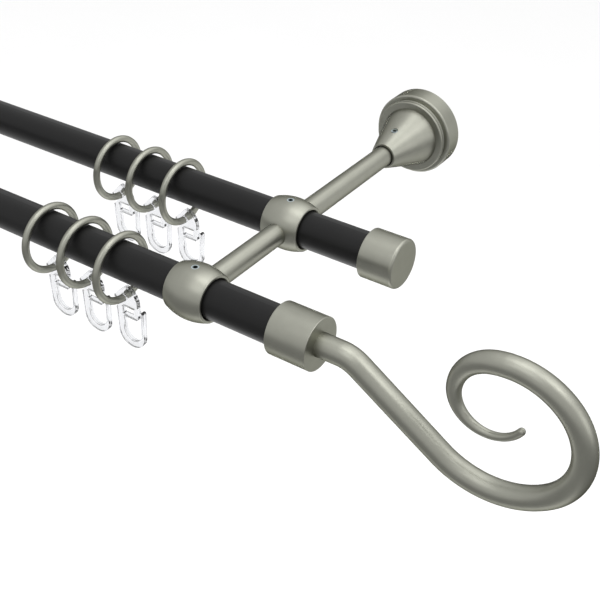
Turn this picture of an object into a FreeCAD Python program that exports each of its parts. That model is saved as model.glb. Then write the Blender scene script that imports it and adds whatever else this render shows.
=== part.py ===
import FreeCAD, Part
import math
import os

# Double curtain pole: two parallel tubes on two wall brackets, with a scroll finial at each end of the
# front tube, a plain cap at each end of the rear tube, and wire rings with clear hooks.
# Millimetres. The origin is the centre of the right bracket's seat on the wall. +X runs along the poles
# to the right-hand end, +Y goes into the wall and +Z is up.

V = FreeCAD.Vector

# Poles
tube_dia = 20.0
tube_wall = 1.0
tube_length = 1000.0
tube_end_x = 66.0
wall_to_rear_pole = 141.0
pole_spacing = 77.4

# Bracket arms
arm_dia = 12.0
spigot_dia = 8.0
spigot_depth = 3.0

# Barrel holders that the tubes pass through
holder_half_length = 11.4
holder_mid_dia = 28.8
holder_end_dia = 24.9
holder_edge_round = 0.9
holder_bore_clearance = 0.3
holder_mouth_chamfer = 0.7

# Grub screws
grub_dia = 4.0
grub_recess_depth = 1.8
grub_hex = 2.0
grub_sink = 0.2

# Wall rose: a rim, a grooved step and a cone, with the small end away from the wall
rose_rim_width = 2.7
rose_rim_depth = 12.0
rose_rim_round = 1.2
rose_step_width = 4.2
rose_step_depth = 4.2
rose_step_round = 0.8
rose_groove = 0.5
rose_cone_base_dia = 36.2
rose_length = 47.0
rose_nose_dia = 15.4
rose_nose_round = 0.4
rose_arm_gap = 0.6
rose_wall = 2.2
rose_boss_length = 19.0
rose_screw_from_wall = 35.0

# Plate screwed to the wall inside the rose
plate_thickness = 4.0
plate_fit = 0.2
plate_hole_dia = 5.0
plate_hole_from_edge = 6.6
plate_countersink_dia = 9.4
arm_screw_dia = 6.0
arm_screw_head_dia = 11.6
arm_screw_length = 18.0
arm_screw_hex = 4.0
arm_screw_hex_depth = 2.5

# End caps
cap_dia = 26.5
cap_back_x = 49.5
cap_fit = 0.15
cap_edge_round = 0.3
rear_cap_end_wall = 3.0
rear_cap_round = 1.5
finial_cap_end_wall = 5.5

# Scroll: straight run, bend down, straight run, then arcs that close in (radius, turn in degrees)
scroll_straight = 10.9
scroll_bend_radius = 17.0
scroll_bend_turn = 33.8
scroll_run = 51.5
scroll_arcs = ((41.5, 75.8), (32.3, 94.2), (34.4, 58.2), (21.5, 71.2), (16.75, 155.0))
# Rod radius as a share of the bar's radius, at shares of the scroll's length
scroll_taper = ((0.0, 1.0), (0.45, 0.91), (0.70, 0.865), (0.73, 0.855), (0.75, 0.838), (0.77, 0.80),
                (0.79, 0.742), (0.83, 0.617), (0.87, 0.50), (0.91, 0.395), (0.935, 0.338),
                (0.96, 0.305), (1.0, 0.29))
scroll_shortest_piece = 2.0

# Rings
ring_wire_dia = 4.0
ring_mean_dia = 35.4
ring_clearance = 0.3
ring_pitch = 25.0
ring_count = 3
front_first_x = -50.0
rear_first_x = -75.0

# Hooks, seen from the front with the ring's wire at 0, 0
hook_thickness = 2.8
hook_wire_clearance = 0.15
hook_throat = 3.4
hook_left = -5.7
hook_right = 12.2
hook_bottom = -30.5
hook_left_leg = 4.4
hook_right_leg = 2.0
hook_tip_lean = 1.0
hook_tip_z = -5.0
hook_body_right = 9.5
hook_bar_bottom = -11.8
hook_bar_depth = 1.8
hook_window_top = -5.3
hook_window_right = 6.5
hook_tongue = 2.2
hook_tongue_reach = 4.1
hook_crown_reach = 6.4
hook_crown_mid = (5.4, 6.3)
hook_crown_end = (8.2, 3.4)
hook_side_top = 0.2
hook_corner = 1.5

# Worked out from the sizes above
tube_r = tube_dia / 2.0
arm_r = arm_dia / 2.0
spigot_r = spigot_dia / 2.0
grub_r = grub_dia / 2.0
wire_r = ring_wire_dia / 2.0
ring_r = ring_mean_dia / 2.0
rear_y = -wall_to_rear_pole
front_y = rear_y - pole_spacing
bracket_spacing = tube_length - 2.0 * tube_end_x
middle_x = -bracket_spacing / 2.0
ring_z = tube_r + ring_clearance - (ring_r - wire_r)
holder_bore_r = tube_r + holder_bore_clearance
holder_mid_r = holder_mid_dia / 2.0
spigot_root = holder_mid_r - spigot_depth
rose_step_dia = rose_cone_base_dia + 2.0 * rose_step_width
rose_dia = rose_step_dia + 2.0 * rose_rim_width
plate_r = rose_dia / 2.0 - rose_wall - plate_fit
same_size = 1e-4


def cylinder(radius, length, base, direction):
    return Part.makeCylinder(radius, length, base, direction)


def revolved(outline, base, axis):
    """Solid of revolution from edges in the X-Y plane turned about X, then aimed along the given axis."""
    face = Part.Face(Part.Wire(outline))
    solid = face.revolve(V(0, 0, 0), V(1, 0, 0), 360)
    solid.Placement = FreeCAD.Placement(base, FreeCAD.Rotation(V(1, 0, 0), axis))
    return solid


def lines(points):
    """Closed chain of straight edges through (along, radius) points."""
    closed = points + [points[0]]
    return [Part.makeLine(V(a[0], a[1], 0), V(b[0], b[1], 0)) for a, b in zip(closed, closed[1:])]


def arc3(a, b, c):
    return Part.Arc(V(*a), V(*b), V(*c)).toShape()


def line3(a, b):
    return Part.makeLine(V(*a), V(*b))


def export(shape, node):
    shape.exportStep("parts/" + node + ".step")


# Holders

def holder_body(y):
    """Barrel without its bore: a bulged outline with rounded ends, turned about the pole's axis."""
    end_r = holder_end_dia / 2.0
    edge = holder_edge_round
    side_x = holder_half_length - edge
    slant = math.sqrt(0.5) * edge
    face_x = holder_half_length
    outline = [
        line3((-face_x, 0, 0), (face_x, 0, 0)),
        line3((face_x, 0, 0), (face_x, end_r - edge, 0)),
        arc3((face_x, end_r - edge, 0), (side_x + slant, end_r - edge + slant, 0), (side_x, end_r, 0)),
        arc3((side_x, end_r, 0), (0, holder_mid_r, 0), (-side_x, end_r, 0)),
        arc3((-side_x, end_r, 0), (-side_x - slant, end_r - edge + slant, 0), (-face_x, end_r - edge, 0)),
        line3((-face_x, end_r - edge, 0), (-face_x, 0, 0)),
    ]
    return revolved(outline, V(0, y, 0), V(1, 0, 0))


def holder_bore():
    """Bore with a chamfered mouth at each end."""
    mouth = holder_mouth_chamfer
    face_x = holder_half_length
    points = [(-face_x, 0), (-face_x, holder_bore_r + mouth), (-face_x + mouth, holder_bore_r),
              (face_x - mouth, holder_bore_r), (face_x, holder_bore_r + mouth), (face_x, 0)]
    return revolved(lines(points), V(0, 0, 0), V(1, 0, 0))


def spigot_socket(y, side):
    """Blind hole in the barrel's wall for an arm's spigot, on the wall side (+1) or the room side (-1)."""
    return cylinder(spigot_r, holder_mid_r, V(0, y + side * spigot_root, 0), V(0, side, 0))


def holder(y, sides):
    """Barrel holder with its bore, its grub screw hole on top and a socket for each arm."""
    bore = holder_bore()
    bore.translate(V(0, y, 0))
    body = holder_body(y).cut(bore)
    body = body.cut(cylinder(grub_r, holder_mid_r, V(0, y, 0), V(0, 0, 1)))
    for side in sides:
        body = body.cut(spigot_socket(y, side))
    return body


def grub_screw(tip, top_z):
    """Headless screw that points down, with a hexagon socket in its upper end."""
    body = cylinder(grub_r, top_z - tip.z, tip, V(0, 0, 1))
    corner = grub_hex / math.sqrt(3.0)
    ring = [V(corner * math.cos(math.radians(60 * k)), corner * math.sin(math.radians(60 * k)), 0)
            for k in range(7)]
    hexagon = Part.Face(Part.makePolygon(ring)).extrude(V(0, 0, grub_recess_depth + 1.0))
    hexagon.translate(V(tip.x, tip.y, top_z - grub_recess_depth))
    return body.cut(hexagon)


def holder_screw(y):
    return grub_screw(V(0, y, tube_r), holder_mid_r - grub_sink)


# Arms

def rear_arm():
    """Bar from the wall plate to the rear holder: coped end, spigot and a screw hole in the root."""
    root_y = -plate_thickness
    bar = cylinder(arm_r, root_y - rear_y, V(0, rear_y, 0), V(0, 1, 0)).cut(holder_body(rear_y))
    spigot = cylinder(spigot_r, arm_dia, V(0, rear_y + spigot_root, 0), V(0, 1, 0))
    hole = cylinder(arm_screw_dia / 2.0, arm_screw_length - plate_thickness,
                    V(0, root_y, 0), V(0, -1, 0))
    return bar.fuse(spigot).cut(hole)


def front_arm():
    """Bar between the two holders, coped over both barrels, with a spigot into each."""
    bar = cylinder(arm_r, pole_spacing, V(0, front_y, 0), V(0, 1, 0))
    bar = bar.cut(holder_body(rear_y)).cut(holder_body(front_y))
    spigots = cylinder(spigot_r, pole_spacing - 2.0 * spigot_root,
                       V(0, front_y + spigot_root, 0), V(0, 1, 0))
    return bar.fuse(spigots)


# Rose and wall plate

def cone_radius(depth):
    """Outer radius of the rose's cone at a distance from the wall."""
    start = rose_rim_depth + rose_step_depth
    share = (depth - start) / (rose_length - start)
    return (rose_cone_base_dia + share * (rose_nose_dia - rose_cone_base_dia)) / 2.0


def rose_outside():
    """Outline (distance from the wall, radius) of the rose's outside, as edges up to the axis."""
    rim_r = rose_dia / 2.0
    step_r = rose_step_dia / 2.0
    groove_at = rose_rim_depth + rose_step_depth / 2.0 - rose_groove
    step_end = rose_rim_depth + rose_step_depth
    nose_r = rose_nose_dia / 2.0
    points = [(0, 0), (0, rim_r), (rose_rim_depth, rim_r), (rose_rim_depth, step_r),
              (groove_at - rose_groove, step_r), (groove_at, step_r - rose_groove),
              (groove_at + rose_groove, step_r), (step_end, step_r),
              (step_end, rose_cone_base_dia / 2.0), (rose_length, nose_r), (rose_length, 0)]
    return revolved(lines(points), V(0, 0, 0), V(0, -1, 0))


def rose_inside():
    """Hollow of the rose: a seat for the wall plate, then a space that follows the step and the cone."""
    seat_r = rose_dia / 2.0 - rose_wall
    step_r = rose_step_dia / 2.0 - rose_wall - rose_groove
    rim_end = rose_rim_depth - rose_wall
    boss_start = rose_length - rose_boss_length
    step_end = rose_rim_depth + rose_step_depth
    bore_r = arm_r + rose_arm_gap
    points = [(0, 0), (0, seat_r), (rim_end, seat_r), (rim_end, step_r), (step_end - rose_wall, step_r),
              (step_end - rose_wall, cone_radius(step_end) - rose_wall),
              (boss_start, cone_radius(boss_start) - rose_wall), (boss_start, bore_r),
              (rose_length, bore_r), (rose_length, 0)]
    return revolved(lines(points), V(0, 0, 0), V(0, -1, 0))


def circles(shape, axis, place, radius):
    """Circular edges of a shape with one radius, at one place along the X or Y axis."""
    found = []
    for edge in shape.Edges:
        if isinstance(edge.Curve, Part.Circle):
            miss = getattr(edge.Curve.Center, axis) - place
            if abs(miss) < same_size and abs(edge.Curve.Radius - radius) < same_size:
                found.append(edge)
    return found


def rose():
    """Turned cover with rounded edges, bored for the arm and drilled for its grub screw."""
    body = rose_outside()
    step_end = rose_rim_depth + rose_step_depth
    body = body.makeFillet(rose_rim_round, circles(body, "y", -rose_rim_depth, rose_dia / 2.0))
    body = body.makeFillet(rose_step_round, circles(body, "y", -step_end, rose_step_dia / 2.0))
    body = body.makeFillet(rose_nose_round, circles(body, "y", -rose_length, rose_nose_dia / 2.0))
    body = body.cut(rose_inside())
    return body.cut(cylinder(grub_r, rose_dia, V(0, -rose_screw_from_wall, 0), V(0, 0, 1)))


def rose_screw():
    """Grub screw through the cone's boss down to the arm."""
    top_z = cone_radius(rose_screw_from_wall) - grub_sink
    return grub_screw(V(0, -rose_screw_from_wall, arm_r), top_z)


def countersunk_cut(hole_dia, head_dia, x, z, from_y, direction):
    """Through hole with a 90 degree countersink whose wide end lies on the face at from_y."""
    sink = (head_dia - hole_dia) / 2.0
    cone = Part.makeCone(head_dia / 2.0, hole_dia / 2.0, sink, V(x, from_y, z), V(0, direction, 0))
    return cone.fuse(cylinder(hole_dia / 2.0, plate_thickness, V(x, from_y, z), V(0, direction, 0)))


def wall_plate():
    """Disc with two screw holes and a middle hole, which is countersunk from the wall side."""
    plate = cylinder(plate_r, plate_thickness, V(0, 0, 0), V(0, -1, 0))
    for side in (-1, 1):
        x = side * (plate_r - plate_hole_from_edge)
        plate = plate.cut(countersunk_cut(plate_hole_dia, plate_countersink_dia, x, 0, -plate_thickness, 1))
    return plate.cut(countersunk_cut(arm_screw_dia, arm_screw_head_dia, 0, 0, 0, -1))


def arm_screw():
    """Countersunk screw from behind the plate into the arm's root."""
    head_r = arm_screw_head_dia / 2.0
    shank_r = arm_screw_dia / 2.0
    points = [(0, 0), (0, head_r), (head_r - shank_r, shank_r), (arm_screw_length, shank_r),
              (arm_screw_length, 0)]
    body = revolved(lines(points), V(0, 0, 0), V(0, -1, 0))
    corner = arm_screw_hex / math.sqrt(3.0)
    ring = [V(corner * math.cos(math.radians(60 * k)), 0, corner * math.sin(math.radians(60 * k)))
            for k in range(7)]
    hexagon = Part.Face(Part.makePolygon(ring)).extrude(V(0, -arm_screw_hex_depth, 0))
    return body.cut(hexagon)


# Poles, caps and finial

def pole_tube(y):
    start = V(tube_end_x - tube_length, y, 0)
    outer = cylinder(tube_r, tube_length, start, V(1, 0, 0))
    return outer.cut(cylinder(tube_r - tube_wall, tube_length, start, V(1, 0, 0)))


def cap(y, end_wall, front_round):
    """Cup pushed over the tube's end, with its end wall against the tube."""
    front_x = tube_end_x + end_wall
    body = cylinder(cap_dia / 2.0, front_x - cap_back_x, V(cap_back_x, y, 0), V(1, 0, 0))
    body = body.makeFillet(front_round, circles(body, "x", front_x, cap_dia / 2.0))
    body = body.makeFillet(cap_edge_round, circles(body, "x", cap_back_x, cap_dia / 2.0))
    return body.cut(cylinder(tube_r + cap_fit, tube_end_x - cap_back_x, V(cap_back_x, y, 0), V(1, 0, 0)))


def rear_cap():
    return cap(rear_y, rear_cap_end_wall, rear_cap_round)


def finial_cap():
    """Cap of the front tube, bored for the scroll's spigot."""
    body = cap(front_y, finial_cap_end_wall, cap_edge_round)
    return body.cut(cylinder(spigot_r, finial_cap_end_wall, V(tube_end_x, front_y, 0), V(1, 0, 0)))


def scroll_stretches():
    """Length of each stretch of the scroll's middle line with its radius, or none where it is straight."""
    bend = scroll_bend_radius * math.radians(scroll_bend_turn)
    stretches = [(scroll_straight, None), (bend, -scroll_bend_radius), (scroll_run, None)]
    for radius, turn in scroll_arcs:
        stretches.append((radius * math.radians(turn), radius))
    return stretches


def scroll_place(travelled):
    """Point and heading on the scroll's middle line at a distance from the cap."""
    x = tube_end_x + finial_cap_end_wall
    z = 0.0
    heading = 0.0
    for length, radius in scroll_stretches():
        step = min(travelled, length)
        travelled -= step
        if radius is None:
            x += step * math.cos(heading)
            z += step * math.sin(heading)
        else:
            turned = heading + step / radius
            x += radius * (math.sin(turned) - math.sin(heading))
            z -= radius * (math.cos(turned) - math.cos(heading))
            heading = turned
    return V(x, front_y, z), heading


def scroll_radius(share):
    """Rod radius at a share of the scroll's length."""
    for (start, first), (end, last) in zip(scroll_taper, scroll_taper[1:]):
        if share <= end:
            break
    return arm_r * (first + (last - first) * (share - start) / (end - start))


def scroll_circle(travelled, length):
    """Section of the rod, square to the middle line."""
    place, heading = scroll_place(travelled)
    circle = Part.makeCircle(scroll_radius(travelled / length), V(0, 0, 0), V(1, 0, 0))
    circle.rotate(V(0, 0, 0), V(0, -1, 0), math.degrees(heading))
    circle.translate(place)
    return Part.Wire(circle)


def scroll_piece(start, end, length):
    """Straight or bent cone between two distances along the middle line."""
    first, heading = scroll_place(start)
    last, turned = scroll_place(end)
    if abs(turned - heading) < same_size:
        spine = Part.makeLine(first, last)
    else:
        middle = scroll_place((start + end) / 2.0)[0]
        spine = Part.Arc(first, middle, last).toShape()
    sweep = Part.BRepOffsetAPI.MakePipeShell(Part.Wire(spine))
    sweep.setBiNormalMode(V(0, 1, 0))
    sweep.add(scroll_circle(start, length), False, False)
    sweep.add(scroll_circle(end, length), False, False)
    sweep.build()
    sweep.makeSolid()
    return sweep.shape()


def scroll_cuts():
    """Distances where two pieces of the rod meet: ends of stretches, and taper shares well clear of those."""
    cuts = [0.0]
    for length, _ in scroll_stretches():
        cuts.append(cuts[-1] + length)
    length = cuts[-1]
    for share, _ in scroll_taper:
        if min(abs(share * length - cut) for cut in cuts) > scroll_shortest_piece:
            cuts.append(share * length)
    return sorted(cuts)


def finial_scroll():
    """Rod drawn to a taper and rolled into a scroll, with a spigot for the cap and a round tip."""
    cuts = scroll_cuts()
    length = cuts[-1]
    pieces = [scroll_piece(start, end, length) for start, end in zip(cuts, cuts[1:])]
    place, heading = scroll_place(length)
    ahead = V(math.cos(heading), 0, math.sin(heading))
    pieces.append(Part.makeSphere(scroll_radius(1.0), place, ahead, 0, 90))
    spigot = cylinder(spigot_r, finial_cap_end_wall, V(tube_end_x, front_y, 0), V(1, 0, 0))
    return spigot.fuse(pieces)


# Rings and hooks

def ring(x, y):
    return Part.makeTorus(ring_r, wire_r, V(x, y, ring_z), V(1, 0, 0))


def hook_frame():
    """Outline of the two legs and the bend, with the crossbar and the window above it."""
    inner_left = hook_left + hook_left_leg
    inner_right = hook_right - hook_right_leg
    inner_r = (inner_right - inner_left) / 2.0
    outer_r = (hook_right - hook_left) / 2.0
    inner_x = (inner_left + inner_right) / 2.0
    outer_x = (hook_left + hook_right) / 2.0
    outer_z = hook_bottom + outer_r
    inner_z = hook_bottom + hook_left_leg + inner_r
    tip_r = hook_right_leg / 2.0
    tip_x = hook_right - tip_r + hook_tip_lean
    tip_base = hook_tip_z - tip_r
    shoulder = throat_line(hook_left)
    outline = [
        line3((hook_left, 0, shoulder), (hook_left, 0, outer_z)),
        arc3((hook_left, 0, outer_z), (outer_x, 0, hook_bottom), (hook_right, 0, outer_z)),
        line3((hook_right, 0, outer_z), (tip_x + tip_r, 0, tip_base)),
        arc3((tip_x + tip_r, 0, tip_base), (tip_x, 0, hook_tip_z), (tip_x - tip_r, 0, tip_base)),
        line3((tip_x - tip_r, 0, tip_base), (inner_right, 0, inner_z)),
        arc3((inner_right, 0, inner_z), (inner_x, 0, inner_z - inner_r), (inner_left, 0, inner_z)),
        line3((inner_left, 0, inner_z), (inner_left, 0, throat_line(inner_left))),
        line3((inner_left, 0, throat_line(inner_left)), (hook_left, 0, shoulder)),
    ]
    return Part.Face(Part.Wire(outline))


def throat_line(x):
    """Height of the lower side of the wire's way in, which runs down to the left at 45 degrees."""
    lower = hook_throat - (wire_r + hook_wire_clearance)
    return x - lower * math.sqrt(2.0)


def hook_head():
    """Outline of the tongue, the head and the right-hand column down to the crossbar."""
    hole_r = wire_r + hook_wire_clearance
    diagonal = math.sqrt(0.5)
    top = hole_r + hook_tongue
    reach = hook_tongue_reach
    low_tip = V(diagonal * (-reach - hole_r), 0, diagonal * (-reach + hole_r))
    high_tip = V(diagonal * (-reach - top), 0, diagonal * (-reach + top))
    tip_mid = (low_tip + high_tip) * 0.5 + V(-diagonal, 0, -diagonal) * (hook_tongue / 2.0)
    crown_start = V(diagonal * (hook_crown_reach - top), 0, diagonal * (hook_crown_reach + top))
    crown_mid = V(hook_crown_mid[0], 0, hook_crown_mid[1])
    crown_end = V(hook_crown_end[0], 0, hook_crown_end[1])
    side = V(hook_body_right, 0, hook_side_top)
    bar_top = hook_bar_bottom + hook_bar_depth
    left = hook_left + hook_left_leg
    points_after = [
        side,
        V(hook_body_right, 0, hook_bar_bottom + hook_corner),
        V(hook_body_right - hook_corner, 0, hook_bar_bottom),
        V(left, 0, hook_bar_bottom),
        V(left, 0, throat_line(left)),
        V(0, 0, throat_line(0)),
        V(0, 0, 0),
        V(diagonal * -hole_r, 0, diagonal * hole_r),
        low_tip,
    ]
    edges = [Part.Arc(low_tip, tip_mid, high_tip).toShape(), Part.makeLine(high_tip, crown_start)]
    edges.append(Part.Arc(crown_start, crown_mid, crown_end).toShape())
    edges.append(Part.makeLine(crown_end, side))
    for a, b in zip(points_after, points_after[1:]):
        edges.append(Part.makeLine(a, b))
    head = Part.Face(Part.Wire(edges))
    window = Part.Face(Part.makePolygon([
        V(left, 0, bar_top), V(hook_window_right, 0, bar_top), V(hook_window_right, 0, hook_window_top),
        V(left, 0, hook_window_top), V(left, 0, bar_top)]))
    hole = Part.Face(Part.Wire(Part.makeCircle(hole_r, V(0, 0, 0), V(0, 1, 0))))
    return head.cut(window).cut(hole)


def hook():
    """Clear moulded hook in one thickness, centred on the ring's wire."""
    up = V(0, hook_thickness, 0)
    solid = hook_frame().extrude(up).fuse(hook_head().extrude(up)).removeSplitter()
    solid.translate(V(0, -hook_thickness / 2.0, 0))
    return solid


def at(shape, x, y, z):
    moved = shape.copy()
    moved.translate(V(x, y, z))
    return moved


def mirrored(shape):
    """The left-hand copy of a right-hand piece, mirrored about the middle of the poles."""
    return shape.mirror(V(middle_x, 0, 0), V(1, 0, 0))


def main():
    os.makedirs("parts", exist_ok=True)
    right_pieces = {
        "wall_plate": wall_plate(),
        "arm_screw": arm_screw(),
        "rose": rose(),
        "rose_screw": rose_screw(),
        "rear_arm": rear_arm(),
        "rear_holder": holder(rear_y, (1, -1)),
        "rear_holder_screw": holder_screw(rear_y),
        "front_arm": front_arm(),
        "front_holder": holder(front_y, (1,)),
        "front_holder_screw": holder_screw(front_y),
        "rear_cap": rear_cap(),
        "finial_cap": finial_cap(),
        "finial_scroll": finial_scroll(),
    }
    for name, shape in right_pieces.items():
        export(shape, "right_" + name)
        export(mirrored(shape), "left_" + name)
    export(pole_tube(rear_y), "rear_pole")
    export(pole_tube(front_y), "front_pole")
    hook_shape = hook()
    for pole, y, first_x in (("front", front_y, front_first_x), ("rear", rear_y, rear_first_x)):
        for k in range(ring_count):
            x = first_x - k * ring_pitch
            export(ring(x, y), "%s_ring_%d" % (pole, k + 1))
            export(at(hook_shape, x, y, ring_z - ring_r), "%s_hook_%d" % (pole, k + 1))


main()
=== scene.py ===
import bmesh
import bpy
import math
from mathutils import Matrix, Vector


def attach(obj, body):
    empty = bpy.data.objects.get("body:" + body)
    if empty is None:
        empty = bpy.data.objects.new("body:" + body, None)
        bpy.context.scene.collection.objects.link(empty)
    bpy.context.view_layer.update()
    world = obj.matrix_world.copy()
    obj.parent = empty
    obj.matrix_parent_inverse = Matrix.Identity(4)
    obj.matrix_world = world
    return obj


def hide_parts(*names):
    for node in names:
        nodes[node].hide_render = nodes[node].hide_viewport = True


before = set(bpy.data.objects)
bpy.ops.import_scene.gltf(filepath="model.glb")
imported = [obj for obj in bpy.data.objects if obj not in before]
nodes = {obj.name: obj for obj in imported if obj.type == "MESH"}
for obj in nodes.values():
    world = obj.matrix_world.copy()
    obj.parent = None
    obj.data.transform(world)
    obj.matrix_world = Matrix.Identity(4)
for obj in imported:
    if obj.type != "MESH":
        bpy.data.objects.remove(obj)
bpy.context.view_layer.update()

# Wall roses. Each is a turned and bored steel cover that slides over the arm and hides the wall plate.
# It has a rim, a grooved step and a cone, and is nickel plated to an even satin with a faint turned grain.

bracket_spacing = 0.868
bracket_x = {"right": 0.0, "left": -bracket_spacing}

nickel_dark = (0.336, 0.339, 0.292, 1.0)
nickel_light = (0.425, 0.428, 0.372, 1.0)
nickel_roughness, blast_roughness, grain_roughness = 0.39, 0.12, 0.06
nickel_bump, nickel_depth = 0.12, 0.00004
blast_scale, cloud_scale, turned_scale = 3400.0, 160.0, 5200.0
cloud_share = 0.6
grain_share = 0.3


class Finish:
    """A socket in a finish's node tree, so that a finish reads as sums of its marks."""

    def __init__(self, tree, socket=None):
        self.tree = tree
        self.socket = socket

    def node(self, kind, settings, sockets, out=0):
        """Adds a node, sets or links its sockets, and gives one of its outputs."""
        made = self.tree.nodes.new(kind)
        for key, value in settings.items():
            setattr(made, key, value)
        for key, value in sockets.items():
            if isinstance(value, Finish):
                self.tree.links.new(value.socket, made.inputs[key])
            else:
                made.inputs[key].default_value = value
        return Finish(self.tree, made.outputs[out])

    def maths(self, operation, a, b=0.0):
        return self.node("ShaderNodeMath", {"operation": operation}, {0: a, 1: b})

    def __add__(self, other):
        return self.maths("ADD", self, other)

    def __sub__(self, other):
        return self.maths("SUBTRACT", self, other)

    def __rsub__(self, other):
        return self.maths("SUBTRACT", other, self)

    def __mul__(self, other):
        return self.maths("MULTIPLY", self, other)

    __radd__ = __add__
    __rmul__ = __mul__


def new_finish(name):
    """An empty material, with the place of each point on the piece and the shader to wire."""
    material = bpy.data.materials.new(name)
    material.use_nodes = True
    tree = material.node_tree
    place = Finish(tree).node("ShaderNodeTexCoord", {}, {}, "Object")
    return material, place, tree.nodes["Principled BSDF"]


def wire_up(shader, **sockets):
    """Links the varying sockets of the shader."""
    for name, value in sockets.items():
        value.tree.links.new(value.socket, shader.inputs[name.replace("_", " ")])


def bare_metal(shader):
    """A metal that doesn't whiten at its edges."""
    shader.inputs["Metallic"].default_value = 1.0
    shader.inputs["Specular Tint"].default_value = (0.0, 0.0, 0.0, 1.0)


def noise(place, scale, detail=2.0):
    return place.node("ShaderNodeTexNoise", {}, {"Vector": place, "Scale": scale, "Detail": detail})


def blend(share, low, high):
    """The colour between two, by a share of 0 to 1."""
    return share.node("ShaderNodeMix", {"data_type": "RGBA"}, {"Factor": share, 6: low, 7: high}, 2)


def bumps(height, strength, depth):
    return height.node("ShaderNodeBump", {}, {"Height": height, "Strength": strength, "Distance": depth})


def from_centre(place, centre):
    return place.node("ShaderNodeVectorMath", {"operation": "SUBTRACT"}, {0: place, 1: centre})


def by_axis(vector):
    """The three numbers of a vector, named by their axes."""
    split = vector.node("ShaderNodeSeparateXYZ", {}, {"Vector": vector}).socket.node
    return {axis: Finish(vector.tree, split.outputs[axis]) for axis in "XYZ"}


def satin_nickel(name, grain=None):
    """Satin nickel: cloudy plating over a fine even blast, with the grain that turning or drawing left."""
    material, place, shader = new_finish(name)
    blast = noise(place, blast_scale)
    clouds = noise(place, cloud_scale, 3.0)
    tone = clouds * cloud_share + blast * (1.0 - cloud_share)
    roughness = nickel_roughness + (blast - 0.5) * blast_roughness
    height = blast
    if grain:
        marks = grain(place)
        roughness = roughness + (marks - 0.5) * grain_roughness
        height = blast * (1.0 - grain_share) + marks * grain_share
    bare_metal(shader)
    wire_up(shader, Base_Color=blend(tone, nickel_dark, nickel_light), Roughness=roughness,
            Normal=bumps(height, nickel_bump, nickel_depth))
    return material


def turned_nickel(name, along, centre):
    """Satin nickel on a turned piece, with faint rings about the axis it was turned on."""
    def rings(place):
        parts = by_axis(from_centre(place, centre))
        length = parts.pop(along)
        a, b = parts.values()
        radius = place.maths("SQRT", a * a + b * b)
        turned = place.node("ShaderNodeCombineXYZ", {},
                            {"X": length * turned_scale, "Y": radius * turned_scale})
        return noise(turned, 1.0)
    return satin_nickel(name, rings)


def give(name, material):
    """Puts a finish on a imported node."""
    node = nodes[name]
    node.data.materials.clear()
    node.data.materials.append(material)


for side, x in bracket_x.items():
    give(side + "_rose", turned_nickel(side + "_rose_nickel", "Y", (x, 0.0, 0.0)))

# Wall plates and their arm screws. The plate is a zinc plated steel disc, drilled and countersunk for two
# wood screws, and one countersunk socket screw from behind pulls the arm's root against it.

zinc_light = (0.70, 0.74, 0.76, 1.0)
zinc_roughness, rubbed_roughness = 0.26, 0.12
zinc_bump, zinc_depth = 0.10, 0.00003
spangle_scale, rubbed_scale = 900.0, 2600.0
spangle_share = 0.6


def zinc(name, tint):
    """Bright zinc plate with its faint spangle and rubbed sheen."""
    material, place, shader = new_finish(name)
    spangle = place.node("ShaderNodeTexVoronoi", {}, {"Vector": place, "Scale": spangle_scale})
    rubbed = noise(place, rubbed_scale)
    tone = spangle * spangle_share + rubbed * (1.0 - spangle_share)
    bare_metal(shader)
    wire_up(shader, Base_Color=blend(tone, tint, zinc_light),
            Roughness=zinc_roughness + rubbed * rubbed_roughness, Normal=bumps(rubbed, zinc_bump, zinc_depth))
    return material


plate_zinc = zinc("plate_zinc", (0.52, 0.53, 0.52, 1.0))
screw_zinc = zinc("screw_zinc", (0.42, 0.50, 0.54, 1.0))
for side in bracket_x:
    give(side + "_wall_plate", plate_zinc)
    give(side + "_arm_screw", screw_zinc)

# Arms. Two lengths of round bar in line: one from the plate to the rear barrel, one from there to the
# front barrel. Their ends are coped over the barrels and held by a spigot, then plated with them.

draw_line_scale = 60.0
across_line_scale = 3000.0


def drawn_nickel(name, along, centre):
    """Satin nickel on drawn bar, with faint draw lines running along it."""
    def lines(place):
        squeeze = tuple(draw_line_scale if axis == along else across_line_scale for axis in "XYZ")
        drawn = place.node("ShaderNodeVectorMath", {"operation": "MULTIPLY"},
                           {0: from_centre(place, centre), 1: squeeze})
        return noise(drawn, 1.0)
    return satin_nickel(name, lines)


for side, x in bracket_x.items():
    bar = drawn_nickel(side + "_bar_nickel", "Y", (x, 0.0, 0.0))
    give(side + "_rear_arm", bar)
    give(side + "_front_arm", bar)

# Barrel holders. Turned, bulged sleeves that the tubes pass through, bored with a little clearance and
# drilled on top for a grub screw.

pole_y = {"rear": -0.141, "front": -0.2184}
for side, x in bracket_x.items():
    for pole, y in pole_y.items():
        name = side + "_" + pole + "_holder"
        give(name, turned_nickel(name + "_nickel", "X", (x, y, 0.0)))

# Grub screws. Small socket screws that clamp the tubes in the barrels and the rose on its arm. They are
# blued steel with a painted highlight on the rim, and the hexagon socket is darkened by painted shade and
# holds a little oil.

# The first colour is painted shade, the dark of the socket's recess; the second is a painted highlight on the
# rim round the socket. The reaches and depths below mark where each lies.
socket_painted_shade = (0.085, 0.11, 0.11, 1.0)
rim_painted_highlight = (0.60, 0.69, 0.72, 1.0)
socket_reach, rim_reach = 0.0011, 0.0016
socket_depth, rim_depth = -0.0008, -0.0001
screw_roughness, oil_roughness = 0.24, 0.16
screw_bump, screw_depth = 0.10, 0.00003
oil_scale = 2600.0
screw_tops = {"rose": (-0.035, 0.0116), "rear_holder": (pole_y["rear"], 0.0142),
              "front_holder": (pole_y["front"], 0.0142)}


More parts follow.
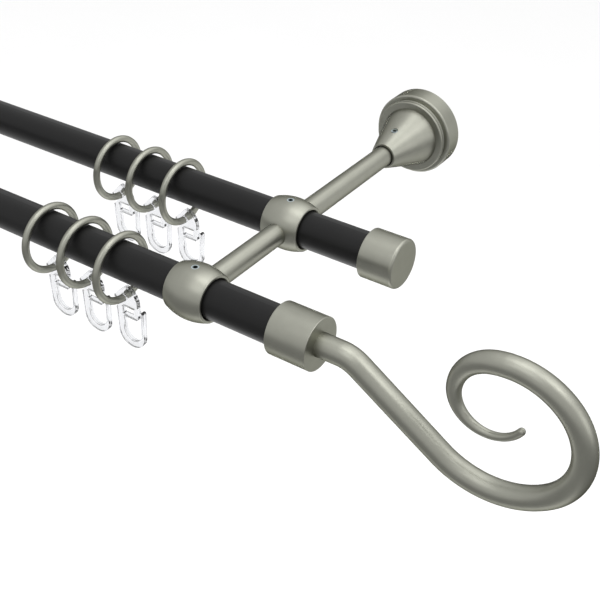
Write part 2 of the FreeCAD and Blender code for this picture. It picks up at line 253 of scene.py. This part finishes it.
def blued_screw_painted_light(name, x, y, top_z):
    """Painted highlight on the rim that falls to dark blue painted shade towards the socket, and stays dark
    down inside it.
    """
    material, place, shader = new_finish(name)
    parts = by_axis(from_centre(place, (x, y, top_z)))
    radius = place.maths("SQRT", parts["X"] * parts["X"] + parts["Y"] * parts["Y"])
    rim = place.node("ShaderNodeMapRange", {},
                     {"Value": radius, "From Min": socket_reach, "From Max": rim_reach})
    open_top = place.node("ShaderNodeMapRange", {},
                          {"Value": parts["Z"], "From Min": socket_depth, "From Max": rim_depth})
    oil = noise(place, oil_scale)
    shader.inputs["Metallic"].default_value = 1.0
    # Painted shade down in the socket blends out into a painted highlight on the rim.
    wire_up(shader, Base_Color=blend(rim * open_top, socket_painted_shade, rim_painted_highlight),
            Roughness=screw_roughness + oil * oil_roughness, Normal=bumps(oil, screw_bump, screw_depth))
    return material


for side, x in bracket_x.items():
    for where, (y, top_z) in screw_tops.items():
        name = side + "_" + where + "_screw"
        give(name, blued_screw_painted_light(name + "_blue", x, y, top_z))

# Poles. Two thin steel tubes, powder coated satin black. The coat is smooth with a very fine orange peel.
# Each tube passes through a barrel of both brackets and is clamped there by the grub screws.

coat_deep = (0.0045, 0.0045, 0.0047, 1.0)
coat_bright = (0.0070, 0.0070, 0.0072, 1.0)
coat_shine = 0.29
coat_roughness, sheen_roughness = 0.42, 0.08
coat_bump, coat_depth = 0.15, 0.00004
peel_scale, sheen_scale = 1500.0, 90.0


def powder_black():
    """Satin black powder coat with a fine orange peel and a slow change of sheen."""
    material, place, shader = new_finish("powder_black")
    peel = noise(place, peel_scale)
    sheen = noise(place, sheen_scale)
    shader.inputs["Specular IOR Level"].default_value = coat_shine
    wire_up(shader, Base_Color=blend(sheen, coat_deep, coat_bright),
            Roughness=coat_roughness + (sheen - 0.5) * sheen_roughness,
            Normal=bumps(peel, coat_bump, coat_depth))
    return material


black = powder_black()
for pole in pole_y:
    give(pole + "_pole", black)

# End caps. Turned cups pushed over the tubes' ends: a plain closed one on each end of the rear tube, and a
# bored one on each end of the front tube that carries the scroll.

cap_pole = {"rear_cap": "rear", "finial_cap": "front"}
for side, x in bracket_x.items():
    for cap, pole in cap_pole.items():
        name = side + "_" + cap
        give(name, turned_nickel(name + "_nickel", "X", (x, pole_y[pole], 0.0)))

# Scrolls. Round bar forged down to a taper, rolled into an open scroll and blasted before plating, so the
# surface is an even satin with no turned rings.

scroll_nickel = satin_nickel("scroll_nickel")
for side in bracket_x:
    give(side + "_finial_scroll", scroll_nickel)

# Rings. Round wire bent to a circle, welded and satin nickel plated. They are larger than the tubes, so
# they hang on them loosely and slide along them.

ring_numbers = (1, 2, 3)
ring_nickel = satin_nickel("ring_nickel")
for pole in pole_y:
    for k in ring_numbers:
        give("%s_ring_%d" % (pole, k), ring_nickel)

# Hooks. One clear plastic moulding each, with softly rounded edges: a head that snaps over the ring's wire
# by a slanted throat, a crossbar with a small window, and a long open loop below for the curtain tape.
# The outline's sizes are in millimetres from the middle of the wire.

hook_thickness = 0.0028
hook_edge = 0.00035
hook_left, hook_right, hook_bottom = -5.7, 12.2, -30.5
left_leg, right_leg = 4.4, 2.0
leg_tip_z = -5.0
leg_tip_lean = 1.0
window_low, window_high = -10.0, -5.3
window_left, window_right = -1.3, 6.5
bar_bottom = -11.8
bar_corner = 1.5
column_right, column_top = 9.5, 0.2
crown_end, crown_middle = (8.2, 3.4), (5.4, 6.3)
crown_reach = 6.4
wire_grip = 2.15
tongue = 2.2
tongue_reach = 4.1
throat_shift = 3.4
slant = math.sqrt(0.5)
wire_z = -0.0231
ring_spacing = 0.025
first_ring_x = {"rear": -0.075, "front": -0.050}
plastic_deep = (0.81, 0.82, 0.84, 1.0)
plastic_pale = (0.88, 0.885, 0.90, 1.0)
plastic_index = 1.42
plastic_roughness, flow_roughness = 0.02, 0.04
plastic_bump, plastic_depth = 0.10, 0.0002
flow_scale = 220.0
point_weld = 0.000001
sharp_angle = 40.0


def arc(a, mid, b, steps):
    """Points from a to b on the circle through the three points."""
    ax, az = a
    bx, bz = mid
    cx, cz = b
    d = 2.0 * (ax * (bz - cz) + bx * (cz - az) + cx * (az - bz))
    a2, b2, c2 = ax * ax + az * az, bx * bx + bz * bz, cx * cx + cz * cz
    ux = (a2 * (bz - cz) + b2 * (cz - az) + c2 * (az - bz)) / d
    uz = (a2 * (cx - bx) + b2 * (ax - cx) + c2 * (bx - ax)) / d
    r = math.hypot(ax - ux, az - uz)
    start = math.atan2(az - uz, ax - ux)
    half = math.atan2(bz - uz, bx - ux)
    end = math.atan2(cz - uz, cx - ux)
    full = 2.0 * math.pi
    turn = (end - start) % full
    if (half - start) % full > turn:
        turn -= full
    return [(ux + r * math.cos(start + turn * k / steps), uz + r * math.sin(start + turn * k / steps))
            for k in range(steps + 1)]


def slanted(along, across):
    """A point by its distances along the throat's slant and across it."""
    return slant * (along - across), slant * (along + across)


def hook_outline():
    """Outer edge of the hook from the throat down the left leg and round, about the ring's wire."""
    inner_left, inner_right = hook_left + left_leg, hook_right - right_leg
    outer_r, inner_r = (hook_right - hook_left) / 2.0, (inner_right - inner_left) / 2.0
    outer_x, inner_x = (hook_left + hook_right) / 2.0, (inner_left + inner_right) / 2.0
    outer_z, inner_z = hook_bottom + outer_r, hook_bottom + left_leg + inner_r
    tip_r = right_leg / 2.0
    tip_x, tip_base = hook_right - tip_r + leg_tip_lean, leg_tip_z - tip_r
    throat_low = (throat_shift - wire_grip) * math.sqrt(2.0)
    tongue_top = wire_grip + tongue
    points = [(hook_left, hook_left - throat_low)]
    points += arc((hook_left, outer_z), (outer_x, hook_bottom), (hook_right, outer_z), 28)
    points += arc((tip_x + tip_r, tip_base), (tip_x, leg_tip_z), (tip_x - tip_r, tip_base), 8)
    points += arc((inner_right, inner_z), (inner_x, inner_z - inner_r), (inner_left, inner_z), 24)
    points += [(inner_left, bar_bottom), (column_right - bar_corner, bar_bottom),
               (column_right, bar_bottom + bar_corner), (column_right, column_top)]
    points += arc(crown_end, crown_middle, slanted(crown_reach, tongue_top), 10)
    high = slanted(-tongue_reach, tongue_top)
    low = slanted(-tongue_reach, wire_grip)
    half_tongue = slant * tongue / 2.0
    nose = ((low[0] + high[0]) / 2.0 - half_tongue, (low[1] + high[1]) / 2.0 - half_tongue)
    points += arc(high, nose, low, 10)
    edge = throat_low * slant
    lip = slanted(-math.sqrt(wire_grip ** 2 - edge ** 2), -edge)
    points += arc(slanted(0.0, wire_grip), slanted(0.0, -wire_grip), lip, 30)
    return points


def hook_mesh():
    """The outline and its window as a filled curve with rounded edges, turned into a closed mesh."""
    curve = bpy.data.curves.new("hook_outline", "CURVE")
    curve.dimensions = "2D"
    curve.fill_mode = "BOTH"
    curve.extrude = hook_thickness / 2.0 - hook_edge
    curve.bevel_depth = hook_edge
    curve.bevel_resolution = 3
    curve.offset = -hook_edge
    window = [(window_left, window_low), (window_right, window_low),
              (window_right, window_high), (window_left, window_high)]
    for loop in (hook_outline(), window):
        spline = curve.splines.new("POLY")
        spline.points.add(len(loop) - 1)
        for point, (x, z) in zip(spline.points, loop):
            point.co = (x / 1000.0, z / 1000.0, 0.0, 1.0)
        spline.use_cyclic_u = True
    holder = bpy.data.objects.new("hook_outline", curve)
    bpy.context.scene.collection.objects.link(holder)
    bpy.context.view_layer.update()
    mesh = bpy.data.meshes.new_from_object(holder.evaluated_get(bpy.context.evaluated_depsgraph_get()))
    bpy.data.objects.remove(holder)
    shape = bmesh.new()
    shape.from_mesh(mesh)
    bmesh.ops.remove_doubles(shape, verts=shape.verts, dist=point_weld)
    for v in shape.verts:
        v.co = Vector((v.co.x, -v.co.z, v.co.y))
    bmesh.ops.recalc_face_normals(shape, faces=shape.faces)
    shape.to_mesh(mesh)
    shape.free()
    mesh.set_sharp_from_angle(angle=math.radians(sharp_angle))
    return mesh


def clear_plastic():
    """Clear moulded plastic, a little cloudy where it flowed in the mould."""
    material, place, shader = new_finish("clear_plastic")
    flow = noise(place, flow_scale)
    shader.inputs["Transmission Weight"].default_value = 1.0
    shader.inputs["IOR"].default_value = plastic_index
    wire_up(shader, Base_Color=blend(flow, plastic_deep, plastic_pale),
            Roughness=plastic_roughness + flow * flow_roughness,
            Normal=bumps(flow, plastic_bump, plastic_depth))
    return material


hook_form = hook_mesh()
hook_form.materials.append(clear_plastic())
for pole, y in pole_y.items():
    for k in ring_numbers:
        name = "%s_hook_%d" % (pole, k)
        hook = bpy.data.objects.new(name + "_moulding", hook_form)
        hook.location = (first_ring_x[pole] - ring_spacing * (k - 1), y, wire_z)
        bpy.context.scene.collection.objects.link(hook)
        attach(hook, name)
        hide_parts(name)

# Studio. A plain pale floor well below the pole, which hangs in the air as in the photograph, with broad
# soft lights and a camera at the photograph's place. Each light stands in its own direction from the
# middle of the bracket and is aimed back at it.

floor_half, floor_z = 120.0, -0.90
floor_light_z, floor_light_size, floor_light_power = -0.30, 8.0, 65.0
paint_deep = (0.88, 0.88, 0.88, 1.0)
paint_pale = (0.90, 0.90, 0.90, 1.0)
paint_roughness, mottle_scale = 0.9, 3.0
middle = Vector((0.0, -0.15, 0.0))
far_reach, far_size, far_fan = 1.6, 0.8, 180.0
far_lights = {"top": ((0.0, 0.0, 1.0), 4.21), "right": ((0.6, 0.0, 0.8), 3.84),
              "side": ((0.97, 0.1, 0.2), 1.85), "corner": ((0.5, 0.5, 0.7), 1.86),
              "wall": ((0.0, 0.85, 0.5), 1.25), "high": ((0.0, 0.5, 0.87), 2.04),
              "front": ((0.0, -0.6, 0.8), 2.23)}
near_reach, near_size, near_fan = 0.85, 1.0, 120.0
near_lights = {"back_rim": ((0.3, 0.8, -0.5), 1.21), "under": ((0.0, 0.0, -1.0), 1.65),
               "left_rim": ((-0.8, 0.1, -0.6), 0.95)}
dark_below, light_above = 0.335, 0.759
haze_low, haze_high = -0.12, 0.02
camera_place = (0.270785, -0.519338, 0.280319)
camera_tilt, camera_turn, camera_roll = 35.3537, 34.9796, 0.104
camera_lens, camera_sensor = 61.37, 36.0


def studio_floor():
    """A wide painted floor that shows its own colour and isn't mirrored in the metal."""
    mesh = bpy.data.meshes.new("studio_floor")
    shape = bmesh.new()
    corners = ((-1, -1), (1, -1), (1, 1), (-1, 1))
    shape.faces.new([shape.verts.new((x * floor_half, y * floor_half, floor_z)) for x, y in corners])
    shape.to_mesh(mesh)
    shape.free()
    material, place, shader = new_finish("floor_paint")
    shader.inputs["Roughness"].default_value = paint_roughness
    wire_up(shader, Base_Color=blend(noise(place, mottle_scale), paint_deep, paint_pale))
    mesh.materials.append(material)
    floor = bpy.data.objects.new("studio_floor", mesh)
    floor.visible_glossy = False
    bpy.context.scene.collection.objects.link(floor)


def soft_light(name, place, aim, size, power, fan):
    """A square lamp aimed at a point. It lights and shines in the metal, but isn't seen itself."""
    lamp = bpy.data.lights.new(name, "AREA")
    lamp.shape = "SQUARE"
    lamp.size = size
    lamp.energy = power
    lamp.spread = math.radians(fan)
    item = bpy.data.objects.new(name, lamp)
    item.location = place
    item.rotation_mode = "QUATERNION"
    item.rotation_quaternion = (aim - place).to_track_quat("-Z", "Y")
    item.visible_camera = False
    item.visible_transmission = False
    bpy.context.scene.collection.objects.link(item)


studio_floor()
for name, (way, power) in far_lights.items():
    place = middle + Vector(way).normalized() * far_reach
    soft_light(name + "_light", place, middle, far_size, power, far_fan)
for name, (way, power) in near_lights.items():
    place = middle + Vector(way).normalized() * near_reach
    soft_light(name + "_light", place, middle, near_size, power, near_fan)
soft_light("floor_light", Vector((0.0, 0.0, floor_light_z)), Vector((0.0, 0.0, floor_z)), floor_light_size,
           floor_light_power, far_fan)

world = bpy.data.worlds.new("studio_air")
world.use_nodes = True
air = Finish(world.node_tree)
up = by_axis(air.node("ShaderNodeTexCoord", {}, {}, "Generated"))["Z"]
haze = air.node("ShaderNodeMapRange", {}, {"Value": up, "From Min": haze_low, "From Max": haze_high,
                                           "To Min": dark_below, "To Max": light_above})
background = world.node_tree.nodes["Background"]
background.inputs["Color"].default_value = (1.0, 1.0, 1.0, 1.0)
wire_up(background, Strength=haze)
bpy.context.scene.world = world
bpy.context.scene.view_settings.view_transform = "Standard"

lens = bpy.data.cameras.new("photo_view")
lens.sensor_width = camera_sensor
lens.lens = camera_lens
lens.clip_start = 0.01
lens.clip_end = 50.0
camera = bpy.data.objects.new("photo_view", lens)
camera.location = camera_place
camera.rotation_euler = (math.radians(90.0 - camera_tilt), 0.0, math.radians(camera_turn))
camera.rotation_euler.rotate_axis("Z", math.radians(camera_roll))
bpy.context.scene.collection.objects.link(camera)
bpy.context.scene.camera = camera

bpy.context.view_layer.update()
